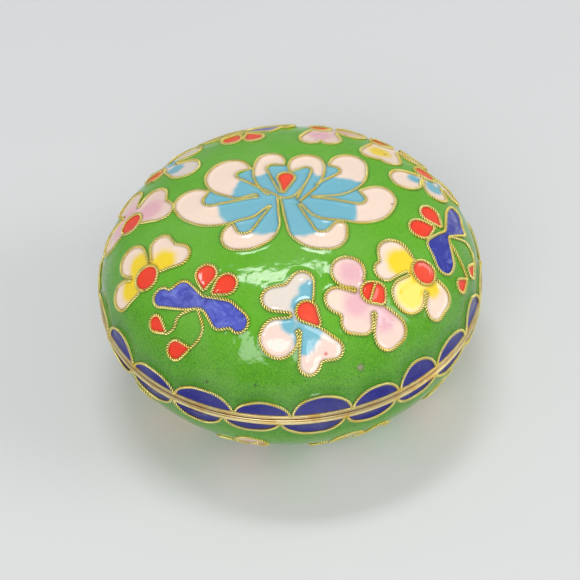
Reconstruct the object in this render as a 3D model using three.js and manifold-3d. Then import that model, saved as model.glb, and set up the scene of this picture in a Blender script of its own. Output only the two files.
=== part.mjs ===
// A round cloisonne enamel box: a domed lid and a bowl of the same plan, both hollow, with brass
// rims, a locating collar and a foot ring. The twisted wires of the enamel are low ridges on both
// shells. Millimetres, +Z up, origin at the centre of the underside.
import * as THREE from 'three';
import Module from 'manifold-3d';

const wasm = await Module();
wasm.setup();

// Driving dimensions
const rimRadius = 32; // enamel body at the seam
const lidRise = 18.5; // seam to the top of the dome
const bowlFall = 17.8; // seam to where the bowl's curve would close
const bowlDepth = 16.4; // seam to the flat underside of the bowl
const seamHeight = 17.4; // standing surface to the seam
const roundness = 0.645; // 1 is an ellipse, smaller is squarer at the shoulder
const wall = 1.6; // copper with enamel on both faces
const sides = 44; // facets round the box, two to a scallop
const outerRows = 7; // rows of facets up the outside of a shell
const innerRows = 4;

// Brass work
const rimProud = 0.2; // rim beyond the enamel
const rimBand = 0.9; // height of each rim band
const seamGap = 0.3; // dark line between the two rims
const fitGap = 0.1; // rim band to shell
const rimInner = rimRadius - wall + 0.05;
const collarOuter = rimRadius - wall - 1;
const collarWall = 0.9;
const collarUp = 2.4; // collar above the seam
const collarDown = 2.6; // collar below the seam
const footOuter = 17.2;
const footWall = 2;

// Cloison wires
const wireProud = 0.3;
const wireSunk = 0.35;
const wireBase = 0.7; // width where a ridge is rooted
const finest = 0.03; // smaller features than this are dropped
const tightestPin = 0.42;
const facetSag = 0.35; // most that a straight facet of a ridge stands off its curve
const shortStep = 1; // points nearer than this are joined
const longStraight = 7; // straights longer than this get a point half way
const scallops = 22;
const scallopRise = 4.2; // along the surface
const lidScallopTurn = -2.6; // degrees
const bowlScallopTurn = -5.1;

// Height of a shell's surface above the seam plane and its radius, for an angle up from the rim
const shellPoint = (radius, rise, angle) => [
  radius * Math.cos(angle) ** roundness,
  rise * Math.sin(angle),
];
const angleAt = (rise, height) => Math.asin(height / rise);

// Arc length from the pole, radius and height, so that a drawing on the flat can be laid on a dome
function surveyShell(radius, rise, count = 600) {
  const rows = [{ s: 0, r: 0, z: rise }];
  for (let i = 1; i <= count; i++) {
    const [r, z] = shellPoint(radius, rise, (Math.PI / 2) * (1 - i / count));
    const last = rows[i - 1];
    rows.push({ s: last.s + Math.hypot(r - last.r, z - last.z), r, z });
  }
  return rows;
}

// The point of a shell below the drawing's point (x, y), and the outward direction there
function layOn(rows, x, y) {
  const flat = Math.max(Math.hypot(x, y), 1e-6);
  let i = 1;
  while (i < rows.length - 1 && rows[i].s < flat) i++;
  const [a, b] = [rows[i - 1], rows[i]];
  const part = Math.min((flat - a.s) / (b.s - a.s), 1);
  const r = a.r + (b.r - a.r) * part;
  const z = a.z + (b.z - a.z) * part;
  const slope = Math.hypot(b.r - a.r, b.z - a.z);
  const [outR, outZ] = [(a.z - b.z) / slope, (b.r - a.r) / slope];
  return {
    at: new THREE.Vector3((r * x) / flat, (r * y) / flat, z),
    out: new THREE.Vector3((outR * x) / flat, (outR * y) / flat, outZ),
  };
}

// A wire bent round pins [x, y, r]: r > 0 turns it left round the pin, r < 0 right, and 0 is a
// plain point. Gives the points along it.
function bendWire(pins, closed) {
  const pin = pins.map(([x, y, r]) => ({
    x,
    y,
    r: r && Math.sign(r) * Math.max(Math.abs(r), tightestPin),
  }));
  const count = pin.length;
  const heading = pin.map((from, i) => {
    const to = pin[(i + 1) % count];
    const [dx, dy] = [to.x - from.x, to.y - from.y];
    const lean = Math.asin(THREE.MathUtils.clamp((from.r - to.r) / Math.hypot(dx, dy), -1, 1));
    return Math.atan2(dy, dx) + lean;
  });
  const touch = (p, angle) => [p.x + p.r * Math.sin(angle), p.y - p.r * Math.cos(angle)];
  const run = pin.flatMap((p, i) => {
    if (p.r === 0) return [[p.x, p.y]];
    const start = heading[(i + count - 1) % count];
    let turn = THREE.MathUtils.euclideanModulo((heading[i] - start) * Math.sign(p.r), 2 * Math.PI);
    if (turn > (Math.abs(p.r) < 1 ? 4.6 : 6)) turn -= 2 * Math.PI;
    const widest = 2 * Math.acos(1 - Math.min(facetSag / Math.abs(p.r), 0.6));
    const steps = Math.max(1, Math.ceil(Math.abs(turn) / widest));
    return Array.from({ length: steps + 1 }, (_, k) =>
      touch(p, start + (Math.sign(p.r) * turn * k) / steps));
  });
  const spaced = [];
  for (const point of run) {
    const last = spaced.at(-1);
    if (last) {
      const gap = Math.hypot(point[0] - last[0], point[1] - last[1]);
      if (gap < shortStep) continue;
      if (gap > longStraight) spaced.push([(point[0] + last[0]) / 2, (point[1] + last[1]) / 2]);
    }
    spaced.push(point);
  }
  return spaced;
}

// Drawings of the lid, pole at 0, 0 and the front towards -y. Blossoms are one wire round three
// petals, with hairpins between them, and a seed beside them.
const open = (...pins) => ({ closed: false, pins });
const loop = (...pins) => ({ closed: true, pins });
const seedOf = (x, y, r, tipX, tipY, tipR) => loop([x, y, r], [tipX, tipY, tipR]);

const lotus = [
  open([-2.6, -2.6, 0], [-6.2, -3.1, -2.2], [-10.8, 1.2, -7.4], [-15, 0.3, -3.2], [-12.6, 2.4, 0],
    [-11.9, 0.2, 1.5], [-4.5, -0.6, 0]),
  open([-4.2, 0.4, 0], [-7.4, 1.9, -2.1], [-7.9, 5.6, -5.1], [-8.8, 7.35, -3.1], [-5.7, 7.3, 0],
    [-6.8, 5.9, 1.1], [0.2, 1, 1.95], [2.3, 0.9, 0]),
  open([-2.5, 0.4, 0], [3.4, 6.1, -8.5], [-2.1, 8.95, -2.35], [0, 7.75, 0], [-1.8, 7, 1.1],
    [-0.9, 0.5, 0]),
  open([2.2, -2, 0], [-2.9, 6.8, 9.55], [3.65, 7.4, 2.95], [1.2, 6.2, 0], [3.5, 5.9, -1],
    [2.2, 0, 0]),
  open([4.1, -0.9, 0], [6.7, 6, 6.95], [10.6, 7.3, 3.1], [7.3, 7.2, 0], [8, 5.7, -1.15],
    [5, 2.1, 0]),
  open([2.3, -2.5, 0], [7, -2.7, 3.85], [11.5, -1.1, 6.2], [15, -1.1, 2.85], [12, 0.4, 0],
    [11.5, -1.6, -1.3], [4.1, -0.9, 0]),
  open([-1.4, -0.9, 0], [-6.4, -7, -5.2], [-7.5, -9.1, -3], [-8.5, -6.4, 0], [-6.7, -7.45, 1.35],
    [-2.5, -2.8, 0]),
  open([-0.7, -0.9, 0], [5.3, -7.7, 5.25], [6.2, -9.8, 3.15], [8.3, -8.3, 1.15],
    [5.5, -7.9, -1.4], [2, -2.8, 0]),
  seedOf(0.25, 4.2, 1.45, -0.3, 0.7, 0.2),
];
const frontBlue = [
  open([3.35, -22.4, 0], [1.8, -19.1, 1.85], [-0.95, -19, -0.45], [-2.5, -21.7, 2.05],
    [-0.5, -24.5, -0.35], [-2.35, -27.9, 3.05], [0.85, -27.2, -0.35], [2.45, -32, 1.8],
    [4.85, -32.1, -0.5], [6.35, -29.8, 1.65], [4, -26.4, 0]),
  seedOf(2.3, -24, 1.7, 3.9, -25.9, 0.5),
];
const frontPink = [
  open([11.5, -18.8, 0], [9.05, -17.3, 2.7], [9.9, -20.4, -0.35], [7.2, -22.1, 2.05],
    [7.3, -24.9, -0.5], [9.4, -25.6, 1.7], [11.3, -25.8, 1.6], [13.1, -24, -0.35],
    [15.6, -26.9, 2.4], [16.6, -25.9, 2.3], [14.8, -22.3, 0]),
  loop([12.7, -20.5, 1.75], [14.1, -21.5, 0.9], [13.5, -20.2, 1.5]),
  open([13.3, -19, 0], [12.3, -22, 0]),
];
const frontYellow = [
  open([19.9, -13, 0], [16.6, -13.2, 2.7], [13.8, -14.75, -0.35], [15, -16.4, 1.75],
    [18.7, -16.3, -0.3], [19.1, -19.9, 2.95], [22.3, -18.7, -0.3], [24.4, -20.6, 2],
    [25.2, -18.4, 2.3], [24.3, -15.6, 0]),
  seedOf(21.7, -15.2, 2.1, 21.9, -15.2, 2.05),
];
const leftYellow = [
  open([-20.9, -12.8, 0], [-17.5, -10.8, 1.95], [-17.7, -8, -0.35], [-20.4, -7.7, 1.95],
    [-22.6, -9.9, -0.25], [-26.1, -8.1, 2.8], [-26.9, -11.2, -0.25], [-29.2, -13, 2.5],
    [-25.4, -14.7, 0]),
  seedOf(-23.4, -12.7, 2.15, -23.6, -12.7, 2.1),
];
const leftPink = [
  open([-24.2, -0.5, 0], [-20.6, 0.4, 2.2], [-19.3, 2.9, -0.4], [-21.9, 4.7, 2.4],
    [-25.1, 4.9, -0.3], [-27.6, 8.2, 2.9], [-28.9, 4.9, -0.3], [-31.8, 1.8, 2.9],
    [-28.6, -0.4, 0]),
  seedOf(-26.4, 1, 2.1, -26.6, 1, 2.05),
];
const backBlue = [
  open([-20.4, 12.2, 0], [-16.8, 11, 2.75], [-18.4, 14.7, -0.25], [-17, 18.3, 2.8],
    [-20.2, 17.3, -0.25], [-22.6, 20, 2.7], [-23.2, 15.9, 0]),
  seedOf(-22.6, 13.6, 2, -22.8, 13.6, 1.95),
];
const backPink = [
  open([4.9, 20, 0], [4.95, 16.2, 2], [6.4, 14.85, -0.45], [8, 16, 1.9], [9.6, 19.5, -0.25],
    [12.3, 20.2, 2.4], [9.9, 22.9, -0.25], [10.2, 26.2, 2.7], [7.6, 24.1, 0]),
  seedOf(6.7, 22.1, 1.9, 6.9, 22.1, 1.85),
];
const backYellow = [
  open([15.2, 16.4, 0], [15.1, 12.3, 2.05], [16.35, 9.6, -0.4], [17.9, 11.15, 2.05],
    [20, 14.9, -0.25], [23.2, 15.6, 2.6], [21.3, 18.6, -0.25], [21.6, 21.8, 2.6],
    [18.8, 20.6, 0]),
  seedOf(17.4, 18.6, 2, 17.6, 18.6, 1.95),
];
const rightBlue = [
  open([22.8, 8, 0], [20.1, 5.2, 2.7], [23.4, 6.8, -0.25], [25.7, 4.6, 2.3], [27.4, 7.3, -0.25],
    [30, 8.9, 2.4], [26.2, 10.9, 0]),
  seedOf(24.4, 10, 2, 24.6, 10, 1.95),
];
// A butterfly is a pair of two-lobed wings with a waist and two seeds for its head
const leftButterfly = [
  loop([-13.2, -18.7, -0.9], [-17.2, -17.5, 1.65], [-19.3, -15.9, -0.7], [-20.9, -17.4, 1.6],
    [-17, -19.2, 1.5], [-15.2, -22.6, -1.5], [-11.4, -23.8, 1.55], [-10.1, -25.9, -0.5],
    [-8.5, -24.7, 1.6], [-10.4, -22.6, 1.75]),
  seedOf(-13, -15.75, 1.75, -13.5, -18.2, 0.35),
  seedOf(-9.95, -18.15, 1.8, -12.1, -19.2, 0.3),
];
const rightButterfly = [
  loop([28, -6.3, -0.9], [30.2, -2, 1.3], [31.6, -0.2, -0.6], [29.6, 1.5, 1.5], [28.9, -0.8, 1.9],
    [25.4, -4.6, -1], [24.1, -9.4, 1.5], [22.9, -11.7, -0.6], [25.8, -12.1, 1.9],
    [26.4, -11, 1.7]),
  seedOf(23.6, -2.6, 1.85, 25.3, -4.4, 0.4),
  seedOf(21.5, -6.7, 1.95, 23.9, -5.5, 0.4),
];

// The same drawing turned about a point and moved to another
function moved(drawing, from, to, degrees) {
  const [c, s] = [Math.cos(THREE.MathUtils.degToRad(degrees)), Math.sin(THREE.MathUtils.degToRad(degrees))];
  return drawing.map(({ closed, pins }) => ({
    closed,
    pins: pins.map(([x, y, r]) => {
      const [dx, dy] = [x - from[0], y - from[1]];
      return [to[0] + c * dx - s * dy, to[1] + s * dx + c * dy, r];
    }),
  }));
}
const backButterfly = moved(leftButterfly, [-11.5, -16.95], [-6.8, 18.3], 214);

const lidDrawing = [
  lotus, frontBlue, frontPink, frontYellow, leftYellow, leftPink, backBlue, backPink, backYellow,
  rightBlue, leftButterfly, rightButterfly, backButterfly,
].flat();

// The wavy wire of the scallops: one bend to each, down to the rim band between them
function scallopRing(reach, turnDegrees) {
  const shape = [[0, 0.2], [0.17, 0.72], [0.5, 1], [0.83, 0.72]];
  const bends = Array.from({ length: scallops }, (_, i) =>
    shape.map(([along, up]) => {
      const angle = ((i + along) * 2 * Math.PI) / scallops + THREE.MathUtils.degToRad(turnDegrees);
      const flat = reach - 1.2 - up * (scallopRise - 1.2);
      return [flat * Math.sin(angle), -flat * Math.cos(angle)];
    }));
  return bends.flat();
}

// A low three-sided ridge along a run of points laid on a shell
function ridge(rows, run, closed) {
  const laid = run.map(([x, y]) => layOn(rows, x, y));
  const count = laid.length;
  const corners = [];
  laid.forEach(({ at, out }, i) => {
    const before = laid[closed ? (i + count - 1) % count : Math.max(i - 1, 0)].at;
    const after = laid[closed ? (i + 1) % count : Math.min(i + 1, count - 1)].at;
    const across = out.clone().cross(after.clone().sub(before)).normalize();
    for (const side of [-1, 1]) {
      const foot = at.clone().addScaledVector(across, (side * wireBase) / 2);
      corners.push(foot.addScaledVector(out, -wireSunk));
    }
    corners.push(at.clone().addScaledVector(out, wireProud));
  });
  const faces = closed ? [] : [[0, 2, 1], [3 * count - 3, 3 * count - 2, 3 * count - 1]];
  for (let i = 0; i < (closed ? count : count - 1); i++) {
    const next = (i + 1) % count;
    for (let k = 0; k < 3; k++) {
      const [a, b, c, d] = [3 * i + k, 3 * i + ((k + 1) % 3), 3 * next + ((k + 1) % 3), 3 * next + k];
      faces.push([a, b, c], [a, c, d]);
    }
  }
  return new wasm.Manifold(new wasm.Mesh({
    numProp: 3,
    vertProperties: new Float32Array(corners.flatMap((p) => p.toArray())),
    triVerts: new Uint32Array(faces.flat()),
  }));
}

function geometryOf(solid) {
  const { vertProperties, triVerts } = solid.getMesh();
  const geometry = new THREE.BufferGeometry();
  geometry.setAttribute('position', new THREE.BufferAttribute(new Float32Array(vertProperties), 3));
  geometry.setIndex(new THREE.BufferAttribute(new Uint32Array(triVerts), 1));
  return geometry;
}

// A closed section of [radius, height] corners turned about the axis
function turned(section) {
  const points = [...section, section[0]].map(([r, z]) => new THREE.Vector2(r, z));
  return new THREE.LatheGeometry(points, sides).rotateX(Math.PI / 2);
}

// A solid dome from `low` to `high`, in rows of facets that are all about as wide as at the rim
function dome(radius, rise, low, high, rows) {
  const [from, to] = [angleAt(rise, low), angleAt(rise, high)];
  const points = Array.from({ length: rows + 1 }, (_, i) => {
    const [r, z] = shellPoint(radius, rise, from + ((to - from) * i) / rows);
    const count = Math.min(sides, Math.ceil((1.15 * sides * r) / rimRadius) || 1);
    return Array.from({ length: count }, (_, k) => {
      const turn = (2 * Math.PI * k) / count;
      return [r * Math.sin(turn), -r * Math.cos(turn), z];
    });
  });
  return wasm.Manifold.hull(points.flat());
}

const bandTop = seamGap / 2 + rimBand; // from the seam plane
const shellEdge = bandTop + fitGap;

// Wires fused to a shell; the small voids under crossing wires are filled
function withWires(shell, rows, drawing, turnDegrees) {
  const ridges = drawing.map(({ closed, pins }) => ridge(rows, bendWire(pins, closed), closed));
  ridges.push(ridge(rows, scallopRing(rows.at(-1).s, turnDegrees), true));
  const bodies = wasm.Manifold.union([shell, ...ridges]).simplify(finest).decompose();
  return geometryOf(bodies.reduce((a, b) => (a.volume() > b.volume() ? a : b)));
}

function shellWall(rise, top) {
  const outer = dome(rimRadius, rise, shellEdge, top, outerRows);
  const inner = dome(rimRadius - wall, rise - wall, 0, top - wall, innerRows);
  return outer.subtract(inner);
}

function makeLid() {
  const shell = shellWall(lidRise, lidRise);
  return withWires(shell, surveyShell(rimRadius, lidRise), lidDrawing, lidScallopTurn);
}

// The bowl is made mouth down like the lid, then turned over
function makeBase() {
  const shell = shellWall(bowlFall, bowlDepth);
  return withWires(shell, surveyShell(rimRadius, bowlFall), [], bowlScallopTurn).rotateX(Math.PI);
}

const outerRim = rimRadius + rimProud;
const band = (low, high, inner) => [[inner, low], [outerRim, low], [outerRim, high], [inner, high]];
function makeBaseRim() {
  const [low, high] = [-bandTop, -seamGap / 2];
  const collarInner = collarOuter - collarWall;
  return turned([
    [collarInner, -collarDown], [collarOuter, -collarDown], ...band(low, high, collarOuter),
    [collarOuter, collarUp], [collarInner, collarUp],
  ]);
}
function makeFootRing() {
  const top = seamHeight - bowlDepth - fitGap;
  const inner = footOuter - footWall;
  return turned([[inner, 0], [footOuter, 0], [footOuter, top], [inner, top]]);
}

const enamel = (color) => new THREE.MeshStandardMaterial({ color, roughness: 0.15, metalness: 0 });
const brass = () => new THREE.MeshStandardMaterial({ color: 0xd9b45a, roughness: 0.3, metalness: 1 });
function piece(name, geometry, material, height) {
  const mesh = new THREE.Mesh(geometry, material);
  mesh.name = name;
  mesh.position.z = height;
  return mesh;
}

const box = new THREE.Group();
box.add(
  piece('foot_ring', makeFootRing(), brass(), 0),
  piece('base', makeBase(), enamel(0x3f8a2a), seamHeight),
  piece('base_rim', makeBaseRim(), brass(), seamHeight),
  piece('lid_rim', turned(band(seamGap / 2, bandTop, rimInner)), brass(), seamHeight),
  piece('lid', makeLid(), enamel(0x6db43c), seamHeight),
);
export default box;
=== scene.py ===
# Round cloisonne enamel box: domed lid, bowl, gilt rims, foot ring and twisted gilt wires.
# Objects are in metres with +Z up. The pattern is drawn in millimetres on the flat, x to the right
# and y to the back, with the crown of the shell at 0, 0 and distances from it along the shell.
import bpy, bmesh, math, random
import numpy as np
from mathutils import Matrix, Vector, kdtree, noise


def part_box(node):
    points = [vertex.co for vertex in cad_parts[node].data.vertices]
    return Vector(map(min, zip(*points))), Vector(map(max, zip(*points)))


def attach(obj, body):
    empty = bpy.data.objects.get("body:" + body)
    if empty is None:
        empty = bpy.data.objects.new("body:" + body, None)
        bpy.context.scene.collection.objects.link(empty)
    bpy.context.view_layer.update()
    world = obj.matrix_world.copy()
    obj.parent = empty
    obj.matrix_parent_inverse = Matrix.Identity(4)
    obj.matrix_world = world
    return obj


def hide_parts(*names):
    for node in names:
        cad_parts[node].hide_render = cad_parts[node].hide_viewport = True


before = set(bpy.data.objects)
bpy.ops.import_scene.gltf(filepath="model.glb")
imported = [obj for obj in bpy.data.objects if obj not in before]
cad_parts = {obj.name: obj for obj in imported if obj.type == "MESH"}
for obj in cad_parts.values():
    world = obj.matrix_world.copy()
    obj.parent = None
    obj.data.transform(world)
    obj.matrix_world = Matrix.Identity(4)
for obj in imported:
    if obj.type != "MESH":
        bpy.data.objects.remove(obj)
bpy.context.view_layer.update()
mm = 0.001

rimBox, footBox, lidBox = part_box("lid_rim"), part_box("foot_ring"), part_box("lid")
body = {
    "radius": rimBox[1][0] / mm - 0.2,  # enamel at the seam
    "seam": rimBox[0][2] / mm - 0.15,  # height of the seam
    "roundness": 0.645,  # 1 is an ellipse, smaller is squarer at the shoulder
    "wall": 1.5,
    "lidEdge": 0.74,  # enamel starts this far from the seam
    "bowlEdge": 1.02,
    "footRadius": footBox[1][0] / mm,
    "bowlRise": 17.8,  # seam to where the bowl would close
    "bowlDepth": 16.4,  # seam to the flat underside
}
lidRise = lidBox[1][2] / mm - body["seam"] - 0.3  # the wires take up the rest


def surveyShell(rise, flatAt, side, edge):  # arc length from the crown, radius, height from the seam
    t = np.linspace(math.pi / 2, 0, 2500)
    r = body["radius"] * np.cos(t) ** body["roundness"]
    r[0] = 0
    z = np.minimum(rise * np.sin(t), flatAt)
    s = np.concatenate([[0], np.cumsum(np.hypot(np.diff(r), np.diff(z)))])
    return {"s": s, "r": r, "z": z, "side": side, "reach": s[-1], "lip": edge,
            "edge": np.interp(-edge, -z, s)}


lidShell = surveyShell(lidRise, lidRise, 1, body["lidEdge"])
bowlShell = surveyShell(body["bowlRise"], body["bowlDepth"], -1, body["bowlEdge"])


def pointAt(shell, q):
    return np.interp(q, shell["s"], shell["r"]), np.interp(q, shell["s"], shell["z"])


def slopeAt(shell, q, step=0.2):  # which way the profile runs at q, as a unit length
    (farR, farZ), (nearR, nearZ) = pointAt(shell, q + step), pointAt(shell, q - step)
    long = np.hypot(farR - nearR, farZ - nearZ)
    return (farR - nearR) / long, (farZ - nearZ) / long


def layOn(shell, flat, lift):  # points of the drawing, laid on a shell and lifted off it
    q = np.maximum(np.hypot(flat[:, 0], flat[:, 1]), 1e-6)
    (r, z), (dr, dz) = pointAt(shell, q), slopeAt(shell, q)
    r, z = r - dz * lift, z + dr * lift
    return np.stack([flat[:, 0] / q * r, flat[:, 1] / q * r, body["seam"] + shell["side"] * z], 1) * mm


bending = {
    "spacing": 0.12,  # between points along a drawn wire
    "facet": 0.1,  # between points round a pin
    "tightPin": 1,  # a pin smaller than this turns the wire at most by tightTurn, a larger one by wideTurn
    "tightTurn": 4.6,
    "wideTurn": 6,
}


def bendWire(pins, closed):  # pins (x, y, r): the wire turns left round r > 0, right round r < 0; 0 is a point
    count = len(pins)
    place = [np.array(pin[:2], float) for pin in pins]
    radius = [pin[2] for pin in pins]

    def heading(i):
        j = (i + 1) % count
        along = place[j] - place[i]
        lean = (radius[i] - radius[j]) / np.hypot(*along)
        return math.atan2(along[1], along[0]) + math.asin(max(-1, min(1, lean)))

    def touch(i, angle):
        return place[i] + radius[i] * np.array([math.sin(angle), -math.cos(angle)])

    run = []
    for i in range(count):
        if radius[i] == 0:
            run.append(place[i])
            continue
        start, hand = heading(i - 1 if i else count - 1), math.copysign(1, radius[i])
        turn = ((heading(i) - start) * hand) % (2 * math.pi)
        if turn > bending["tightTurn" if abs(radius[i]) < bending["tightPin"] else "wideTurn"]:
            turn -= 2 * math.pi
        for part in np.linspace(0, 1, 3 + int(abs(turn * radius[i]) / bending["facet"])):
            run.append(touch(i, start + hand * turn * part))
    if closed:
        run.append(run[0])
    return even(np.array(run), bending["spacing"])


def smooth(value):
    value = np.clip(value, 0, 1)
    return value * value * (3 - 2 * value)


def even(run, spacing):  # the same path with points at an even spacing
    s = np.concatenate([[0], np.cumsum(np.hypot(*np.diff(run, axis=0).T))])
    at = np.linspace(0, s[-1], max(3, round(s[-1] / spacing)))
    return np.stack([np.interp(at, s, run[:, 0]), np.interp(at, s, run[:, 1])], 1)


def relax(run, closed, passes):  # takes the sharpness out of corners, as a bent wire has none
    for _ in range(passes):
        if closed:
            ring = run[:-1]
            ring = (np.roll(ring, 1, 0) + 2 * ring + np.roll(ring, -1, 0)) / 4
            run = np.concatenate([ring, ring[:1]])
        else:
            run = np.concatenate([run[:1], (run[:-2] + 2 * run[1:-1] + run[2:]) / 4, run[-1:]])
    return run


def wire(*pins):
    return {"pins": pins, "closed": False}


def loop(*pins):
    return {"pins": pins, "closed": True}


def seed(x, y, r, tipX, tipY, tipR):
    return loop((x, y, r), (tipX, tipY, tipR))


def tint(red, green, blue):  # screen colour to linear
    return np.array([v / 255 / 12.92 if v <= 10 else ((v / 255 + 0.055) / 1.055) ** 2.4
                     for v in (red, green, blue)])


enamels = {
    "green": tint(98, 176, 32),
    "deepGreen": tint(82, 156, 20),
    "peach": tint(252, 226, 207),
    "white": tint(234, 221, 210),
    "rose": tint(248, 218, 204),
    "turquoise": tint(116, 186, 206),
    "pink": tint(240, 186, 194),
    "yellow": tint(252, 218, 38),
    "red": tint(246, 62, 34),
    "wing": tint(82, 92, 196),
    "deepWing": tint(44, 52, 160),
    "cobalt": tint(4, 6, 126),
    # painted shade: the darker green laid along the scallops, where the ground dips towards them
    "scallopShade": tint(62, 128, 22),
    "inside": tint(40, 150, 190),
}

# Each figure: the outline wires that are also cells, the enamel that fills them, dabs (x, y, r) of
# a second enamel shaded into it, red seeds, and loose wires that bound nothing.
lotusPetals = [  # outline, dabs of turquoise at its root
    (wire((-2.6, -2.6, 0), (-6.2, -3.1, -2.2), (-10.8, 1.2, -7.4), (-15, 0.3, -3.2), (-12.3, 2.5, 0),
          (-11.9, 0.2, 1.5), (-4.5, -0.3, 0)), [(0, -0.5, 11)]),
    (wire((-4.5, -0.2, 0), (-4.85, 0.1, 0.35), (-7.4, 1.9, -2.1), (-7.9, 5.6, -5.1), (-8.8, 7.35, -3.1),
          (-5.3, 7.3, 0), (-6.8, 5.9, 1.1), (0.2, 1, 1.95), (2.3, 0.9, 0)), [(0, -0.5, 8.8)]),
    (wire((-2.5, 0.4, 0), (3.4, 6.1, -8.5), (-2.1, 8.95, -2.35), (0, 7.75, 0), (-1.8, 7, 1.1), (-0.9, 0.5, 0)),
     [(0, -0.5, 7.2)]),
    (wire((2.2, -2, 0), (-2.9, 6.8, 9.55), (3.65, 7.4, 2.95), (1.6, 6.1, 0), (3.5, 5.9, -1), (1.8, -1.4, 0)),
     [(1, -1.5, 7.6)]),
    (wire((4.1, -0.9, 0), (6.7, 6, 6.95), (10.6, 7.3, 3.1), (7.1, 7.2, 0), (8, 5.7, -1.15), (5, 2.1, 0)),
     [(8.5, -2.5, 6.4)]),
    (wire((2.3, -2.5, 0), (7, -2.7, 3.85), (11.5, -1.1, 6.2), (15, -1.1, 2.85), (11.8, 0.4, 0), (11.5, -1.6, -1.3),
          (4.1, -0.9, 0)), [(3, -4, 8.2)]),
    (wire((-1.3, -0.9, 0), (-6.4, -7, -5.2), (-7.5, -9.1, -3), (-8.5, -6.3, 0), (-6.7, -7.45, 1.35),
          (-2.5, -2.8, 0)), [(-3.5, -3.5, 5.6)]),
    (wire((-0.9, -0.9, 0), (5.3, -7.7, 5.25), (6.2, -9.8, 3.15), (8.3, -8.3, 1.15), (5.5, -7.9, -1.4),
          (2, -2.8, 0)), [(1.8, -4, 6)]),
]
lotusHeart = [  # the turquoise behind the petals
    (-12.4, 2.5), (-5.5, 7.4), (0, 7.75), (1.3, 6.3), (5.5, 8.2), (7, 7.6), (8.2, 7.4),
    (11.8, 0.4), (13.2, -0.3), (13.2, -2.2), (11.5, -3.4), (5, -2), (8.3, -6.2), (8.4, -7.4),
    (7, -9.8), (4.6, -9.8), (2.1, -2.7), (-1, -1), (-2.5, -2.75), (-5, -9.3), (-7, -9.6),
    (-8.8, -7), (-8.45, -6.2), (-8.2, -5.4), (-3.2, -2.8), (-6, -1.2), (-12, -1.7), (-13.7, -0.6),
    (-13.6, 1.4),
]
lotus = [{"cells": [], "polygon": lotusHeart, "fill": "turquoise"}]
for outline, roots in lotusPetals:
    lotus.append({"cells": [outline], "fill": "peach", "wash": "turquoise", "dabs": roots})
lotus.append({"cells": [], "seeds": [seed(0.25, 4.2, 1.45, -0.35, 0.6, 0.2)]})

frontBlue = {
    "cells": [wire((3.35, -22.4, 0), (1.8, -19.1, 1.85), (-0.95, -19, -0.45), (-2.5, -21.7, 2.05),
                   (-0.5, -24.5, -0.35), (-2.35, -27.9, 3.05), (0.85, -27.2, -0.35), (2.45, -32, 1.8),
                   (4.85, -32.1, -0.5), (6.35, -29.8, 1.65), (4, -26.4, 0))],
    "fill": "white", "wash": "turquoise",
    "dabs": [(-3.2, -28.6, 2.8, "rose"), (3.6, -31, 2.8, "rose"), (5.6, -30, 1.8, "rose"), (2.8, -20.5, 1.6),
             (2.4, -21.8, 1.4), (1.2, -22.9, 1.4), (-0.7, -25.8, 1.3), (2.2, -27.4, 2.3), (1.9, -29, 1.7)],
    "seeds": [seed(2.3, -24, 1.7, 3.9, -25.9, 0.5)],
}
frontPink = {
    "cells": [wire((11.5, -18.8, 0), (9.05, -17.3, 2.7), (9.9, -20.4, -0.35), (7.2, -22.1, 2.05), (7.3, -24.9, -0.5),
                   (9.4, -25.6, 1.7), (11.3, -25.8, 1.6), (13.1, -24, -0.35), (15.6, -26.9, 2.4), (16.6, -25.9, 2.3),
                   (14.8, -22.3, 0))],
    "fill": "rose", "wash": "pink",
    "dabs": [(6.6, -22.6, 1.7, "peach"), (9.7, -17.3, 2), (10.2, -22.6, 2), (14.7, -24.4, 2.1)],
    "seeds": [loop((12.7, -20.5, 1.75), (14.1, -21.5, 0.9), (13.5, -20.2, 1.5))],
    "loose": [wire((13.3, -19, 0), (12.3, -22, 0))],
}
frontYellow = {
    "cells": [wire((19.9, -13, 0), (16.6, -13.2, 2.7), (13.8, -14.75, -0.35), (15, -16.4, 1.75), (18.7, -16.3, -0.3),
                   (19.1, -19.9, 2.95), (22.3, -18.7, -0.3), (24.4, -20.6, 2), (25.2, -18.4, 2.3), (24.3, -15.6, 0))],
    "fill": "peach", "wash": "yellow",
    "dabs": [(17.9, -14.4, 2.6), (19.4, -19.6, 2.6), (20.6, -17.2, 2.2), (23.3, -17.2, 1.9)],
    "seeds": [seed(21.7, -15.2, 2.1, 21.9, -15.2, 2.05)],
}
leftYellow = {
    "cells": [wire((-20.9, -12.8, 0), (-17.5, -10.8, 1.95), (-17.7, -8, -0.35), (-20.4, -7.7, 1.95),
                   (-22.6, -9.9, -0.25), (-26.1, -8.1, 2.8), (-26.9, -11.2, -0.25), (-29.2, -13, 2.5),
                   (-25.4, -14.7, 0))],
    "fill": "peach", "wash": "yellow", "dabs": [(-20.3, -11, 2.3), (-24.6, -9.6, 2.4), (-27.2, -12.9, 2.3)],
    "seeds": [seed(-23.4, -12.7, 2.15, -23.6, -12.7, 2.1)],
}
leftPink = {
    "cells": [wire((-24.2, -0.5, 0), (-20.6, 0.4, 2.2), (-19.3, 2.9, -0.4), (-21.9, 4.7, 2.4), (-25.1, 4.9, -0.3),
                   (-27.6, 8.2, 2.9), (-28.9, 4.9, -0.3), (-31.8, 1.8, 2.9), (-28.6, -0.4, 0))],
    "fill": "rose", "wash": "pink", "dabs": [(-22.6, 2.2, 2.2), (-27, 5.6, 2.1), (-29.6, 2.2, 2)],
    "seeds": [seed(-26.4, 1, 2.1, -26.6, 1, 2.05)],
}
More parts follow.
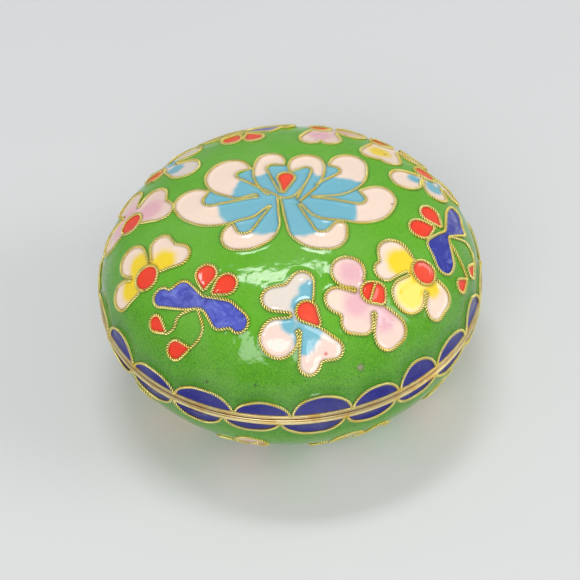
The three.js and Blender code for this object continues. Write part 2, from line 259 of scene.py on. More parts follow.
backBlue = {
    "cells": [wire((-20.4, 12.2, 0), (-16.8, 11, 2.75), (-18.4, 14.7, -0.25), (-17, 18.3, 2.8), (-20.2, 17.3, -0.25),
                   (-22.6, 20, 2.7), (-23.2, 15.9, 0))],
    "fill": "white", "wash": "turquoise", "dabs": [(-18.7, 12.6, 1.5), (-19.2, 16.3, 1.6), (-22, 17.6, 1.3)],
    "seeds": [seed(-22.6, 13.6, 2, -22.8, 13.6, 1.95)],
}
backPink = {
    "cells": [wire((4.9, 20, 0), (4.95, 16.2, 2), (6.4, 14.85, -0.45), (8, 16, 1.9), (9.6, 19.5, -0.25),
                   (12.3, 20.2, 2.4), (9.9, 22.9, -0.25), (10.2, 26.2, 2.7), (7.6, 24.1, 0))],
    "fill": "rose", "wash": "pink", "dabs": [(6.6, 18.2, 2), (10.6, 20.8, 1.7), (9.2, 24.4, 1.7)],
    "seeds": [seed(6.7, 22.1, 1.9, 6.9, 22.1, 1.85)],
}
backYellow = {
    "cells": [wire((15.2, 16.4, 0), (15.1, 12.3, 2.05), (16.35, 9.6, -0.4), (17.9, 11.15, 2.05), (20, 14.9, -0.25),
                   (23.2, 15.6, 2.6), (21.3, 18.6, -0.25), (21.6, 21.8, 2.6), (18.8, 20.6, 0))],
    "fill": "peach", "wash": "yellow", "dabs": [(16.6, 13.8, 2), (21.4, 15.8, 1.9), (20.3, 20.2, 1.8)],
    "seeds": [seed(17.4, 18.6, 2, 17.6, 18.6, 1.95)],
}
rightBlue = {
    "cells": [wire((22.8, 8, 0), (20.1, 5.2, 2.7), (23.4, 6.8, -0.25), (25.7, 4.6, 2.3), (27.4, 7.3, -0.25),
                   (30, 8.9, 2.4), (26.2, 10.9, 0))],
    "fill": "peach", "wash": "turquoise", "dabs": [(21.9, 6.6, 1.2), (25.6, 6.4, 1.7), (28, 8.9, 1.3)],
    "seeds": [seed(24.4, 10, 2, 24.6, 10, 1.95)],
}
leftButterfly = {
    "cells": [loop((-13.2, -18.7, -0.9), (-17.2, -17.5, 1.65), (-19.3, -15.9, -0.7), (-20.9, -17.4, 1.6),
                   (-17, -19.2, 1.5), (-15.2, -22.6, -1.5), (-11.4, -23.8, 1.55), (-10.1, -25.9, -0.5),
                   (-8.5, -24.7, 1.6), (-10.4, -22.6, 1.75))],
    "fill": "wing",
    "seeds": [seed(-13, -15.75, 1.75, -13.5, -18.2, 0.35), seed(-9.95, -18.15, 1.8, -12.1, -19.2, 0.3),
              seed(-23, -21, 1.35, -21.6, -22.8, 0.3), seed(-20.3, -26.3, 1.6, -17.7, -26.8, 0.3)],
    "loose": [wire((-15.1, -21.1, 0), (-17.2, -23.6, 2.4), (-20.6, -21.2, -2), (-21.4, -23.3, 0)),
              wire((-14.9, -21.3, 0), (-17.4, -23.8, -2.9), (-17.4, -26.9, 0))],
}
rightButterfly = {
    "cells": [loop((28, -6.3, -0.9), (30.2, -2, 1.3), (31.6, -0.2, -0.6), (29.6, 1.5, 1.5), (28.9, -0.8, 1.9),
                   (25.4, -4.6, -1), (24.1, -9.4, 1.5), (22.9, -11.7, -0.6), (25.8, -12.1, 1.9), (26.4, -11, 1.7))],
    "fill": "deepWing",
    "seeds": [seed(23.6, -2.6, 1.85, 25.3, -4.4, 0.4), seed(21.5, -6.7, 1.95, 23.9, -5.5, 0.4),
              seed(33.1, -9.6, 1.1, 34, -7.3, 0.3), seed(30.3, -14.1, 1.25, 31.5, -12.4, 0.3)],
    "loose": [wire((27.3, -5.9, 0), (31.5, -7, -2.7), (34, -7.2, 0)), wire((27.5, -7.3, 0), (31.8, -12, 0))],
}


def moved(figure, fromXY, toXY, degrees, size=1):  # the same figure turned about a point and set down elsewhere
    c, s = size * math.cos(math.radians(degrees)), size * math.sin(math.radians(degrees))

    def place(x, y):
        dx, dy = x - fromXY[0], y - fromXY[1]
        return toXY[0] + c * dx - s * dy, toXY[1] + s * dx + c * dy

    def carry(part):
        return {"pins": [(*place(x, y), r * size) for x, y, r in part["pins"]], "closed": part["closed"]}

    new = dict(figure)
    for key in ("cells", "seeds", "loose"):
        new[key] = [carry(part) for part in figure.get(key, [])]
    new["dabs"] = [(*place(x, y), r * size, *other) for x, y, r, *other in figure.get("dabs", [])]
    return new


backButterfly = moved(leftButterfly, (-11.5, -16.95), (-6.8, 18.3), 214)
garland = [frontBlue, frontPink, frontYellow, leftYellow, leftPink, backBlue, backPink, backYellow, rightBlue,
           leftButterfly, rightButterfly, backButterfly]

# The bowl's blossoms are the lid's, turned and set evenly round it.
bowlGarland = {"count": 10, "fromSeam": 13.6, "size": 0.9, "spin": 97}
bowlFigures = []
for i in range(bowlGarland["count"]):
    source, middle = [(frontYellow, (21, -16.4)), (frontPink, (11.8, -22)), (frontBlue, (1.6, -25.4))][i % 3]
    turn = 2 * math.pi * i / bowlGarland["count"]
    out = bowlShell["reach"] - bowlGarland["fromSeam"]
    home = (out * math.cos(turn), out * math.sin(turn))
    bowlFigures.append(moved(source, middle, home, bowlGarland["spin"] * i, bowlGarland["size"]))

hand = random.Random(11)


def scallopRow(feet, tops, count):  # feet in degrees round from the front, tops in mm from the seam; the rest at random
    left = feet[0] + 360 - feet[-1]
    more = count - len(tops)
    feet = feet + [feet[-1] + left * (i + hand.uniform(-0.1, 0.1)) / more for i in range(1, more)] + [feet[0] + 360]
    tops = tops + [hand.uniform(min(tops), max(tops)) for _ in range(more)]
    return {"feet": np.radians(feet), "tops": np.array(tops)}


lidScallops = scallopRow([-68.5, -53, -36.3, -18, -1.7, 15.4, 30, 44, 59.3, 74],
                         [4.5, 3.2, 3.8, 3.3, 4.1, 3.5, 4.4, 3.8, 4.6], 22)
bowlScallops = scallopRow([-37.5, -21.3, -4.9, 13.3, 28.8, 43.6], [3.5, 2.9, 3.7, 3.3, 2.9], 22)
scallopFoot = 0.7  # where both ends of an arc meet the rim, from the seam


def scallopHeight(row, angle):
    angle = (angle - row["feet"][0]) % (2 * math.pi) + row["feet"][0]
    i = np.clip(np.searchsorted(row["feet"], angle, side="right") - 1, 0, len(row["tops"]) - 1)
    along = 2 * (angle - row["feet"][i]) / (row["feet"][i + 1] - row["feet"][i]) - 1
    return scallopFoot + (row["tops"][i] - scallopFoot) * (1 - np.abs(along) ** 2.1) ** 0.55


def scallopRuns(shell, row):
    runs = []
    for start, end, top in zip(row["feet"], row["feet"][1:], row["tops"]):
        sweep = np.linspace(0, math.pi, 90)
        half = (end - start) / 2 - 0.16 / body["radius"]
        angle = (start + end) / 2 - half * np.sign(np.cos(sweep)) * np.abs(np.cos(sweep)) ** 0.95
        q = shell["reach"] - scallopFoot - (top - scallopFoot) * np.sin(sweep) ** 1.1
        runs.append((even(np.stack([q * np.sin(angle), -q * np.cos(angle)], 1), bending["spacing"]), False))
    return runs


def figureRuns(figures):
    runs = []
    for figure in figures:
        for key in ("cells", "seeds", "loose"):
            for part in figure.get(key, []):
                runs.append((bendWire(part["pins"], part["closed"]), part["closed"]))
    return runs


lidRuns = {"lotusWires": figureRuns(lotus), "garlandWires": figureRuns(garland),
           "lidScallopWires": scallopRuns(lidShell, lidScallops)}
bowlRuns = {"bowlWires": figureRuns(bowlFigures), "bowlScallopWires": scallopRuns(bowlShell, bowlScallops)}
drawn = sum(len(run) for group in (lidRuns, bowlRuns) for runs in group.values() for run, _ in runs)
print("wires drawn:", round(drawn * bending["spacing"]), "mm")


class Sock:  # a shader socket that can be used in a Python expression
    def __init__(self, tree, link):
        self.tree, self.link = tree, link

    def calc(self, operation, *others):
        node = self.tree.nodes.new("ShaderNodeMath")
        node.operation = operation
        for i, value in enumerate((self, *others)):
            plug(self.tree, value, node.inputs[i])
        return Sock(self.tree, node.outputs[0])

    def __add__(self, other): return self.calc("ADD", other)
    def __radd__(self, other): return self.calc("ADD", other)
    def __mul__(self, other): return self.calc("MULTIPLY", other)
    def __rmul__(self, other): return self.calc("MULTIPLY", other)
    def __sub__(self, other): return self.calc("SUBTRACT", other)
    def __rsub__(self, other): return (self * -1) + other

    def ramp(self, low, high):  # 0 at low, 1 at high, smooth between
        node = self.tree.nodes.new("ShaderNodeMapRange")
        node.interpolation_type = "SMOOTHSTEP"
        for name, value in (("Value", self), ("From Min", low), ("From Max", high)):
            plug(self.tree, value, node.inputs[name])
        return Sock(self.tree, node.outputs[0])


def plug(tree, value, socket):
    if isinstance(value, Sock):
        tree.links.new(value.link, socket)
    elif isinstance(value, (tuple, list, np.ndarray)) and len(value) == 3 and socket.type == "RGBA":
        socket.default_value = (*map(float, value), 1)
    else:
        socket.default_value = value


class Finish:  # a material in the making
    def __init__(self, name, **fixed):
        self.material = bpy.data.materials.new(name)
        self.material.use_nodes = True
        self.tree = self.material.node_tree
        self.shader = self.tree.nodes["Principled BSDF"]
        for key, value in fixed.items():
            plug(self.tree, value, self.shader.inputs[key.replace("_", " ")])

    def node(self, kind, settings=None, out=0, **inputs):
        node = self.tree.nodes.new(kind)
        for key, value in (settings or {}).items():
            setattr(node, key, value)
        for key, value in inputs.items():
            plug(self.tree, value, node.inputs[key.replace("_", " ")])
        return Sock(self.tree, node.outputs[out])

    def place(self):
        return self.node("ShaderNodeTexCoord", out=3)

    def read(self, name, out=2):  # 0 a colour, 2 a number
        return self.node("ShaderNodeAttribute", {"attribute_name": name}, out=out)

    def noise(self, scale, detail=3, roughness=0.5, distortion=0):
        return self.node("ShaderNodeTexNoise", Vector=self.place(), Scale=scale / mm, Detail=detail,
                         Roughness=roughness, Distortion=distortion)

    def cells(self, scale, randomness=1):
        return self.node("ShaderNodeTexVoronoi", Vector=self.place(), Scale=scale / mm, Randomness=randomness)

    def blend(self, mask, below, above, mode="MIX"):
        node = self.tree.nodes.new("ShaderNodeMix")
        node.data_type, node.blend_type = "RGBA", mode
        plug(self.tree, mask, node.inputs[0])
        plug(self.tree, below, node.inputs[6])
        plug(self.tree, above, node.inputs[7])
        return Sock(self.tree, node.outputs[2])

    def wear(self, **varying):  # what changes over the surface
        for key, value in varying.items():
            self.tree.links.new(value.link, self.shader.inputs[key.replace("_", " ")])

    def bump(self, height, distance, strength=1.0):
        lit = self.node("ShaderNodeBump", Height=height, Distance=distance * mm, Strength=strength)
        self.tree.links.new(lit.link, self.shader.inputs["Normal"])


def makeEnamel(name):
    finish = Finish(name, IOR=1.5)
    paint, grainy, wing = finish.read("paint", 0), finish.read("grain"), finish.read("wing")
    scallop = finish.read("scallop")
    fine, clumps = finish.noise(3.6, 2, 0.6), finish.noise(0.9, 3, 0.6)
    ripple, cloud, specks = finish.noise(0.28, 3, 0.5), finish.noise(0.1, 4, 0.55), finish.cells(1.3)
    sparkle, swell = finish.noise(5.2, 1, 0.5), finish.noise(0.75, 1, 0.4)
    # grains of glass show as darker and lighter dots, more so towards the rims
    darker = finish.blend(1.0, paint, (0.3, 0.5, 0.25), "MULTIPLY")
    colour = finish.blend(grainy * fine.ramp(0.48, 0.7) * 0.75, paint, darker)
    lighter = finish.blend(1.0, paint, (2.3, 1.45, 1.8), "MULTIPLY")
    colour = finish.blend(grainy * sparkle.ramp(0.54, 0.7) * 0.7, colour, lighter)
    colour = finish.blend(grainy * clumps.ramp(0.5, 0.75) * 0.3, colour, darker)
    pinholes = grainy * (1 - specks.ramp(0.03, 0.08)) * clumps.ramp(0.55, 0.6)
    colour = finish.blend(pinholes, colour, (0.01, 0.04, 0.01))
    colour = finish.blend(cloud.ramp(0.35, 0.7) * 0.05, colour, (0.85, 0.9, 0.6))
    colour = finish.blend(scallop * clumps.ramp(0.56, 0.8) * 0.35, colour, tint(58, 62, 186))
    colour = finish.blend(scallop * (1 - specks.ramp(0.04, 0.12)) * 0.5, colour, tint(120, 140, 220))
    streaks = finish.noise(0.35, 5, 0.65, 1.6)
    colour = finish.blend(wing * streaks.ramp(0.5, 0.66) * 0.5, colour, tint(140, 150, 226))
    colour = finish.blend(wing * (1 - streaks.ramp(0.36, 0.5)) * 0.6, colour, tint(52, 54, 158))
    finish.wear(Base_Color=colour, Roughness=0.06 + clumps.ramp(0.3, 0.8) * 0.06 + grainy * 0.05)
    finish.bump(ripple + swell * 0.25 + fine * 0.03, 0.2, 0.6)
    return finish.material


def makeGilt(name, shade, dull, grooveShade, rough):
    finish = Finish(name, Metallic=1.0)
    worn, fine, groove = finish.noise(0.35, 4, 0.6), finish.noise(2.4, 3, 0.6), finish.read("groove")
    colour = finish.blend(worn.ramp(0.42, 0.7), shade, dull)
    colour = finish.blend(fine.ramp(0.55, 0.75) * 0.2, colour, tint(140, 100, 40))
    # painted shade in the hollows: the twisted wire's grooves and the rim's groove are darkened
    colour = finish.blend(groove.ramp(0.28, 0.88) * 0.94, colour, grooveShade)
    finish.wear(Base_Color=colour, Roughness=rough + worn.ramp(0.3, 0.8) * 0.12 + groove * 0.2)
    finish.bump(fine, 0.02, 0.4)
    return finish.material


lidEnamel, bowlEnamel = makeEnamel("lid enamel"), makeEnamel("bowl enamel")
# the third colour of each gilt is the painted shade for its grooves
wireGilt = makeGilt("twisted gilt wire", tint(255, 243, 152), tint(255, 226, 104), tint(58, 34, 12), 0.24)
rimGilt = makeGilt("gilt rim", tint(252, 232, 172), tint(232, 192, 112), tint(112, 70, 30), 0.22)
footGilt = makeGilt("worn foot brass", tint(228, 192, 108), tint(176, 132, 66), tint(90, 60, 28), 0.3)


def makeLining():  # the plain enamel inside and underneath
    finish = Finish("lining enamel", IOR=1.55)
    cloud, fine, pits = finish.noise(0.2, 4, 0.6), finish.noise(2.2, 3, 0.6), finish.cells(1.1)
    colour = finish.blend(cloud.ramp(0.3, 0.75), enamels["inside"], tint(70, 172, 205))
    colour = finish.blend(fine.ramp(0.55, 0.8) * 0.4, colour, tint(20, 105, 150))
    colour = finish.blend((1 - pits.ramp(0.02, 0.1)) * 0.6, colour, tint(18, 60, 90))
    finish.wear(Base_Color=colour, Roughness=0.16 + fine.ramp(0.4, 0.8) * 0.12)
    finish.bump(cloud * 0.6 + fine * 0.1, 0.06, 0.5)
    return finish.material


liningEnamel = makeLining()
print("enamels and gilts mixed")


rope = {"points": 10, "thin": 0.13, "thick": 0.285, "twist": 0.94, "steps": 8, "wander": 0.05}


def ropeSection():  # two strands side by side
    section = bpy.data.objects.new("rope section", bpy.data.curves.new("rope section", "CURVE"))
    spline = section.data.splines.new("POLY")
    spline.points.add(rope["points"] - 1)
    for i, point in enumerate(spline.points):
        angle = i * 2 * math.pi / rope["points"]
        r = (rope["thin"] + (rope["thick"] - rope["thin"]) * abs(math.cos(angle)) ** 1.2) * mm
        point.co = (r * math.cos(angle), r * math.sin(angle), 0, 1)
    spline.use_cyclic_u = True
    bpy.context.scene.collection.objects.link(section)
    return section


section = ropeSection()


def setDown(name, mesh, node=None):  # the finished mesh becomes a piece of the box
    mesh.shade_smooth()
    piece = bpy.data.objects.new(name, mesh)
    bpy.context.scene.collection.objects.link(piece)
    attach(piece, "root")
    if node:
        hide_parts(node)
    print(name, len(mesh.polygons), "faces")


def makeRope(name, shell, runs, height, size, slot):
    curve = bpy.data.curves.new(name, "CURVE")
    curve.dimensions = "3D"
    curve.twist_mode = "MINIMUM"
    curve.bevel_mode, curve.bevel_object = "OBJECT", section
    curve.use_fill_caps = True
    pitch = rope["twist"] / rope["steps"]
    for i, (run, closed) in enumerate(runs):
        path = even(relax(run, closed, 5), pitch)
        n = len(path)
        along = np.arange(n) * pitch
        phase = 2.4 * i
        fade = np.sin(np.pi * np.linspace(0, 1, n)) ** 0.5 if closed else 1
        sway = rope["wander"] * (np.sin(along / 1.7 + phase) + 0.6 * np.sin(along / 0.7 + 2 * phase)) * fade
        turn = np.gradient(path, axis=0)
        turn /= np.maximum(np.hypot(*turn.T), 1e-9)[:, None]
        path = path + np.stack([turn[:, 1], -turn[:, 0]], 1) * sway[:, None]
        lift = height + 0.03 * np.sin(along / 2.3 + phase)
        laid = layOn(shell, path, lift)
        if closed:
            laid = laid[:-1]
        spline = curve.splines.new("POLY")
        spline.points.add(len(laid) - 1)
        spline.points.foreach_set("co", np.concatenate([laid, np.ones((len(laid), 1))], 1).ravel())
        spline.points.foreach_set("radius", np.full(len(laid), size))
        spline.points.foreach_set("tilt", (np.arange(len(laid)) * 2 * math.pi / rope["steps"] + phase))
        spline.use_cyclic_u = closed
    source = bpy.data.objects.new(name + " path", curve)
    bpy.context.scene.collection.objects.link(source)
    bpy.context.view_layer.update()
    mesh = bpy.data.meshes.new_from_object(source.evaluated_get(bpy.context.evaluated_depsgraph_get()))
    bpy.data.objects.remove(source)
    mesh.name = name
    rings = np.empty(len(mesh.vertices) * 3)
    mesh.vertices.foreach_get("co", rings)
    rings = rings.reshape(-1, rope["points"], 3) / mm
    reach = np.linalg.norm(rings - rings.mean(1, keepdims=True), axis=2) / size
    # groove is 1 in the hollows between the two strands, where the gilt is painted darker as shade
    groove = 1 - smooth((reach - rope["thin"]) / (rope["thick"] - rope["thin"]))
    mesh.attributes.new("groove", "FLOAT", "POINT").data.foreach_set("value", groove.ravel())
    mesh.materials.clear()
    mesh.materials.append(wireGilt)
    setDown(name, mesh)


gauge = {"lotusWires": (-0.03, 0.95), "garlandWires": (0.05, 1), "lidScallopWires": (0.06, 0.9),  # height, size
         "bowlWires": (0.04, 1), "bowlScallopWires": (0.06, 0.9)}
for name, runs in lidRuns.items():
    makeRope(name, lidShell, runs, *gauge[name], "lid_rim_brass")
for name, runs in bowlRuns.items():
    makeRope(name, bowlShell, runs, *gauge[name], "base_rim_brass")
bpy.data.objects.remove(section)


def inside(flat, polygon):  # which points of the drawing lie in a closed outline
    hit = np.zeros(len(flat), bool)
    low, high = polygon.min(0), polygon.max(0)
    near = np.nonzero(((flat > low) & (flat < high)).all(1))[0]
    x, y = flat[near].T
    odd = np.zeros(len(near), bool)
    for (ax, ay), (bx, by) in zip(polygon, np.roll(polygon, -1, 0)):
        if ay != by:
            odd ^= ((ay > y) != (by > y)) & (x < (bx - ax) * (y - ay) / (by - ay) + ax)
    hit[near] = odd
    return hit


def wobble(flat, scale, lift=0.0):  # smooth noise on the drawing
    return np.array([noise.noise(Vector((x * scale, y * scale, lift))) for x, y in flat])


# over how many mm one enamel runs into the next
shading = {"turquoise": 0.9, "yellow": 1.6, "pink": 2, "rose": 1.6, "peach": 1.6}


def paintFigures(flat, paint, masks, figures):
    for figure in figures:
        outlines = [np.array(figure["polygon"])] if "polygon" in figure else []
        outlines += [even(bendWire(part["pins"], part["closed"]), 0.4) for part in figure.get("cells", [])]
        for outline in outlines:
            cell = np.nonzero(inside(flat, outline))[0]
            paint[cell] = enamels[figure["fill"]]
            masks["grain"][cell] = 0.1
            masks["wing"][cell] = 1.0 if figure["fill"].lower().endswith("wing") else 0.0
            masks["cell"][cell] = 1.0
            ragged = 0.35 * wobble(flat[cell], 0.9)
            for x, y, r, *other in figure.get("dabs", []):
                shade = other[0] if other else figure["wash"]
                gap = np.hypot(flat[cell, 0] - x, flat[cell, 1] - y)
                amount = smooth((r + ragged - gap) / shading[shade] + 0.5)
                paint[cell] += (enamels[shade] - paint[cell]) * amount[:, None]
        for part in figure.get("seeds", []):
            cell = inside(flat, even(bendWire(part["pins"], part["closed"]), 0.3))
            paint[cell] = enamels["red"]
            masks["grain"][cell] = 0.1
            masks["wing"][cell] = 0.0
            masks["cell"][cell] = 1.0


def gapTo(flat, runs):  # distance on the drawing to the nearest of these wires
    points = np.concatenate(runs)
    tree = kdtree.KDTree(len(points))
    for i, (x, y) in enumerate(points):
        tree.insert((x, y, 0), i)
    tree.balance()
    return np.array([tree.find((x, y, 0))[2] for x, y in flat])


flaws = [  # x, y, radius, colour and depth of the specks and pits in the glaze
    (11.4, -32.5, 0.75, (92, 138, 60), 0.05),
    (11.3, -32.4, 0.4, (150, 148, 118), 0.06),
    (5.2, -30.5, 0.25, (226, 70, 80), 0),
    (8.9, 5.2, 0.25, (60, 90, 110), 0),
    (-8.4, -6.9, 0.22, (70, 100, 120), 0),
    (17.1, -2.2, 0.22, (190, 120, 90), 0),
    (17.4, 13.2, 0.22, (120, 90, 50), 0),
    (-16, -32.8, 0.24, (28, 60, 20), 0.03),
    (-7.1, -34.8, 0.24, (24, 52, 20), 0.03),
]
glaze = {
    "skin": 0.02,  # how far the enamel lies below the true shell
    "recess": 0.08,  # and further below away from a wire
    "cellRecess": 0.06,  # and further still inside a cell
    "dip": 0.22,  # the ground's slope down to the scallops
    "scallopRecess": 0.2,
    "scallopShade": 0.55,  # strength of the painted shade along the scallops, a darker green where the ground dips
    "wireShade": 0.4,  # strength of the painted shade beside a wire, a dark line where it meets the enamel
    "deepFrom": 17,  # the green deepens from this far above the seam
    "deepOver": 12,
    "innerRows": 12,
}


def makeShell(name, node, shell, figures, runs, row, enamel):
    bm = bmesh.new()
    bmesh.ops.create_icosphere(bm, subdivisions=8, radius=1)
    bmesh.ops.bisect_plane(bm, geom=bm.verts[:] + bm.edges[:] + bm.faces[:], plane_co=(0, 0, 0), plane_no=(0, 0, 1),
                           clear_inner=True, dist=1e-5)
    mesh = bpy.data.meshes.new(name)
    bm.to_mesh(mesh)
    bm.free()
    count = len(mesh.vertices)
    ball = np.empty(count * 3)
    mesh.vertices.foreach_get("co", ball)
    ball = ball.reshape(-1, 3)
    q = np.arccos(np.clip(ball[:, 2], 0, 1)) / (math.pi / 2) * shell["edge"]
    across = np.maximum(np.hypot(ball[:, 0], ball[:, 1]), 1e-9)
    flat = ball[:, :2] / across[:, None] * q[:, None]

    paint = np.tile(enamels["green"], (count, 1))
    low = smooth((q - shell["reach"] + glaze["deepFrom"]) / glaze["deepOver"])
    paint += (enamels["deepGreen"] - paint) * low[:, None]
    masks = {key: np.zeros(count) for key in ("wing", "cell", "scallop")}
    masks["grain"] = 0.35 + 0.65 * low
    paintFigures(flat, paint, masks, figures)
    scallop = shell["reach"] - q < scallopHeight(row, np.arctan2(flat[:, 0], -flat[:, 1]))
    paint[scallop], masks["scallop"][scallop] = enamels["cobalt"], 1.0
    masks["grain"][scallop] = 0.8
    if shell["side"] < 0:
        under = q < body["footRadius"] - 1
        paint[under], masks["grain"][under] = enamels["inside"], 0.3

    # the enamel climbs a little where it meets a wire, dips towards the scallops and is lower inside them
    gap = gapTo(flat, [run for group in runs.values() for run, _ in group])
    edging = gapTo(flat, [run for name, group in runs.items() if "Scallop" in name for run, _ in group])
    ground = 1 - np.maximum(masks["cell"], scallop)
    dip = ground * np.exp(-(edging / 1.7) ** 2)
    # painted shade along the scallops, where the ground dips towards them
    scallopShade = glaze["scallopShade"] * ground * np.exp(-((edging - 0.9) / 1.1) ** 2)
    paint += (enamels["scallopShade"] - paint) * scallopShade[:, None]
    # painted shade: the enamel is darkened close to every wire
    paint *= (1 - glaze["wireShade"] * (1 - smooth((gap - 0.24) / 0.3)))[:, None]
    fall = smooth((gap - 0.15) / 0.9)
    lift = -glaze["skin"] - (glaze["recess"] + glaze["cellRecess"] * masks["cell"]) * fall
    lift -= glaze["dip"] * dip * smooth((edging - 0.1) / 0.8)
    lift -= scallop * glaze["scallopRecess"] * smooth((gap - 0.1) / 0.5) * smooth((shell["edge"] - q) / 1.2)
    for x, y, r, colour, depth in flaws if shell["side"] > 0 else []:
        spot = smooth((r - np.hypot(flat[:, 0] - x, flat[:, 1] - y)) / 0.3 + 0.5)
        paint += (tint(*colour) - paint) * spot[:, None]
        lift -= depth * spot
    mesh.vertices.foreach_set("co", layOn(shell, flat, lift).ravel())
    colour = mesh.attributes.new("paint", "FLOAT_COLOR", "POINT")
    colour.data.foreach_set("color", np.concatenate([paint, np.ones((count, 1))], 1).ravel())
    for key in ("grain", "wing", "scallop"):
        mesh.attributes.new(key, "FLOAT", "POINT").data.foreach_set("value", masks[key])

    # the lip and the inside, drawn in from the edge ring by ring
    bm = bmesh.new()
    bm.from_mesh(mesh)
    edge = [e for e in bm.edges if e.is_boundary]
    for step in range(glaze["innerRows"] + 1):
        new = bmesh.ops.extrude_edge_only(bm, edges=edge)["geom"]
        verts = [v for v in new if isinstance(v, bmesh.types.BMVert)]
        edge = [e for e in new if isinstance(e, bmesh.types.BMEdge) and e.is_boundary]
        for face in {f for v in verts for f in v.link_faces}:
            face.material_index = 1
        s = shell["edge"] * (1 - step / glaze["innerRows"] * 0.97)
        (r, z), (dr, dz) = pointAt(shell, s), slopeAt(shell, s)
        r, z = r + dz * body["wall"], z - dr * body["wall"]
        if step == 0:
            z = shell["lip"]
        for v in verts:
            out = Vector((v.co.x, v.co.y, 0)).normalized() * max(r, 0.3) * mm
            v.co = (out.x, out.y, (body["seam"] + shell["side"] * z) * mm)
    bmesh.ops.pointmerge(bm, verts=verts, merge_co=sum((v.co for v in verts), Vector()) / len(verts))
    bmesh.ops.recalc_face_normals(bm, faces=bm.faces)
    bm.to_mesh(mesh)
    bm.free()
    mesh.materials.append(enamel)
    mesh.materials.append(liningEnamel)
    setDown(name, mesh, node)


makeShell("lidShell", "lid", lidShell, lotus + garland, lidRuns, lidScallops, lidEnamel)
makeShell("bowlShell", "base", bowlShell, bowlFigures, bowlRuns, bowlScallops, bowlEnamel)


hoopSteps = 180


def makeHoop(name, node, profile, rounding, finish, dents=0.03):
    bm = bmesh.new()
    verts = [bm.verts.new((r * mm, 0, z * mm)) for r, z in profile]
    edges = [bm.edges.new((verts[i - 1], verts[i])) for i in range(len(verts))]
    bmesh.ops.spin(bm, geom=verts + edges, cent=(0, 0, 0), axis=(0, 0, 1), angle=2 * math.pi,
                   steps=hoopSteps, use_merge=True, use_duplicate=False)
    bmesh.ops.remove_doubles(bm, verts=bm.verts, dist=1e-7)
    bmesh.ops.recalc_face_normals(bm, faces=bm.faces)
    corners = [e for e in bm.edges if abs(e.verts[0].co.z - e.verts[1].co.z) < 1e-7
               and abs(e.verts[0].co.xy.length - e.verts[1].co.xy.length) < 1e-6]
    bmesh.ops.bevel(bm, geom=corners, offset=rounding * mm, affect="EDGES", segments=3, profile=0.5, material=-1,
                    clamp_overlap=True)
    for v in bm.verts:  # hand-soldered, so a little uneven
        shift = noise.noise(v.co / mm * 0.11) * dents
        v.co.z += shift * mm
        v.co.xy *= 1 + noise.noise(v.co / mm * 0.2) * dents / 60
    # painted shade in the groove at the rim's waist; the bead by the seam is painted a little browner too
    grooveShade = bm.verts.layers.float.new("groove")
    for v in bm.verts:
        off = abs(v.co.z / mm - body["seam"])
        outside = v.co.xy.length / mm > body["radius"] - 0.4
        v[grooveShade] = (0.9 if abs(off - rim["waist"]) < 0.06 else 0.5 if off < rim["waist"] else 0.0) * outside
    mesh = bpy.data.meshes.new(name)
    bm.to_mesh(mesh)
    bm.free()
    mesh.materials.append(finish)
    setDown(name, mesh, node)


rim = {"gap": 0.13, "waist": 0.45, "inner": 1.55, "softness": 0.035}


def rimProfile(side):  # two fine beads, the one by the seam the flatter and browner
    edge, seam = body["radius"], body["seam"]
    low, waist, top = rim["gap"], rim["waist"], body["lidEdge" if side > 0 else "bowlEdge"] + 0.08
    rows = [(edge - rim["inner"], low), (edge + 0.02, low), (edge + 0.09, low + 0.09),
            (edge + 0.09, waist - 0.1), (edge - 0.05, waist - 0.02), (edge - 0.05, waist + 0.02),
            (edge + 0.12, waist + 0.1), (edge + 0.16, (waist + top) / 2), (edge + 0.12, top - 0.08),
            (edge - 0.08, top), (edge - rim["inner"], top)]
    return [(r, seam + side * z) for r, z in rows]


makeHoop("lidRim", "lid_rim", rimProfile(1), rim["softness"], rimGilt)
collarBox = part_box("base_rim")
collar = {"outer": body["radius"] - 2.6, "wall": 0.9, "low": collarBox[0][2] / mm, "high": collarBox[1][2] / mm}
collarInner = collar["outer"] - collar["wall"]
bowlProfile = rimProfile(-1)
bowlProfile += [(collar["outer"], bowlProfile[-1][1]), (collar["outer"], collar["low"]),
                (collarInner, collar["low"]), (collarInner, collar["high"]),
                (collar["outer"], collar["high"]), (collar["outer"], bowlProfile[0][1])]
makeHoop("bowlRim", "base_rim", bowlProfile, rim["softness"], rimGilt)

foot = {"outer": body["footRadius"], "width": 2, "taper": 0.15, "softness": 0.15, "top": footBox[1][2] / mm}
footProfile = [(foot["outer"] - foot["width"], 0), (foot["outer"], 0),
               (foot["outer"] - foot["taper"], foot["top"]), (foot["outer"] - foot["width"], foot["top"])]
makeHoop("footRing", "foot_ring", footProfile, foot["softness"], footGilt, 0)
print("rims and foot done")


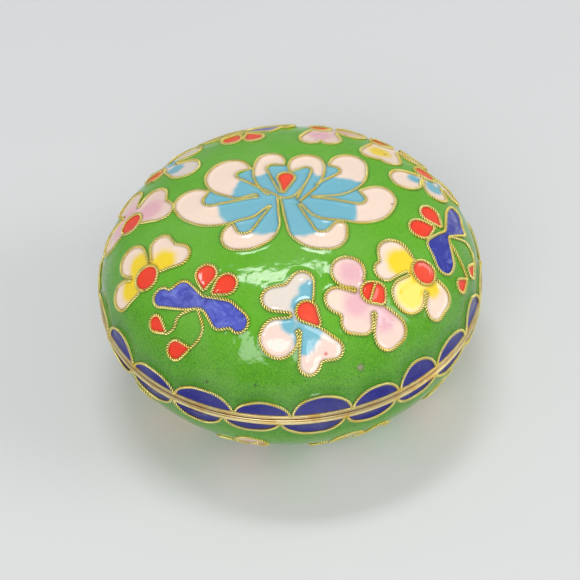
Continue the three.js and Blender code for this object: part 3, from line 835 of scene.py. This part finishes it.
def makeFloor():
    bm = bmesh.new()
    bmesh.ops.create_grid(bm, x_segments=1, y_segments=1, size=2)
    mesh = bpy.data.meshes.new("floor")
    bm.to_mesh(mesh)
    bm.free()
    finish = Finish("pale floor")
    mottle = finish.noise(0.01, 4, 0.6)
    colour = finish.blend(mottle, (0.72, 0.72, 0.72), (0.76, 0.76, 0.755))
    finish.wear(Base_Color=colour, Roughness=0.5 + mottle * 0.1)
    mesh.materials.append(finish.material)
    floor = bpy.data.objects.new("floor", mesh)
    bpy.context.scene.collection.objects.link(floor)


def makeLight(name, place, aim, size, power):
    lamp = bpy.data.lights.new(name, "AREA")
    lamp.shape, lamp.size, lamp.size_y = "RECTANGLE", size[0], size[1]
    lamp.energy = power
    thing = bpy.data.objects.new(name, lamp)
    thing.location = place
    thing.rotation_euler = (Vector(aim) - Vector(place)).to_track_quat("-Z", "Y").to_euler()
    bpy.context.scene.collection.objects.link(thing)


def makeWorld(strength):
    world = bpy.data.worlds.new("studio")
    bpy.context.scene.world = world
    world.use_nodes = True
    world.node_tree.nodes["Background"].inputs[0].default_value = (0.94, 0.97, 1.0, 1)
    world.node_tree.nodes["Background"].inputs[1].default_value = strength


lighting = {
    "world": 0.44,
    "aim": (0, 0, 0.02),
    "lamps": {  # place, size, power
        "overhead": ((-0.04, 0.2, 0.72), (0.3, 0.12), 1.3),
        "front": ((-0.15, -0.8, 0.6), (0.7, 0.4), 4.6),
        "right": ((0.75, -0.15, 0.45), (0.4, 0.4), 1.9),
    },
}
makeFloor()
makeWorld(lighting["world"])
for name, (place, size, power) in lighting["lamps"].items():
    makeLight(name, place, lighting["aim"], size, power)

view = {  # degrees, mm from the seam, lens in mm, and the shift as a share of the frame
    "elevation": 42.3, "roll": -3.1, "distance": 260, "lens": 95.64207, "shift": (-0.0002586, -0.0185172)}
lens = bpy.data.cameras.new("camera")
lens.sensor_width = 36
lens.lens = view["lens"]
lens.shift_x, lens.shift_y = view["shift"]
lens.clip_start, lens.clip_end = 0.01, 10
camera = bpy.data.objects.new("camera", lens)
tip = math.radians(view["elevation"])
away = Vector((0, -math.cos(tip), math.sin(tip)))
camera.matrix_world = (Matrix.Translation(away * view["distance"] * mm + Vector((0, 0, body["seam"] * mm)))
                       @ away.to_track_quat("Z", "Y").to_matrix().to_4x4()
                       @ Matrix.Rotation(math.radians(view["roll"]), 4, "Z"))
bpy.context.scene.collection.objects.link(camera)
bpy.context.scene.camera = camera
bpy.context.scene.view_settings.view_transform = "Standard"
print("floor, lights and camera set")
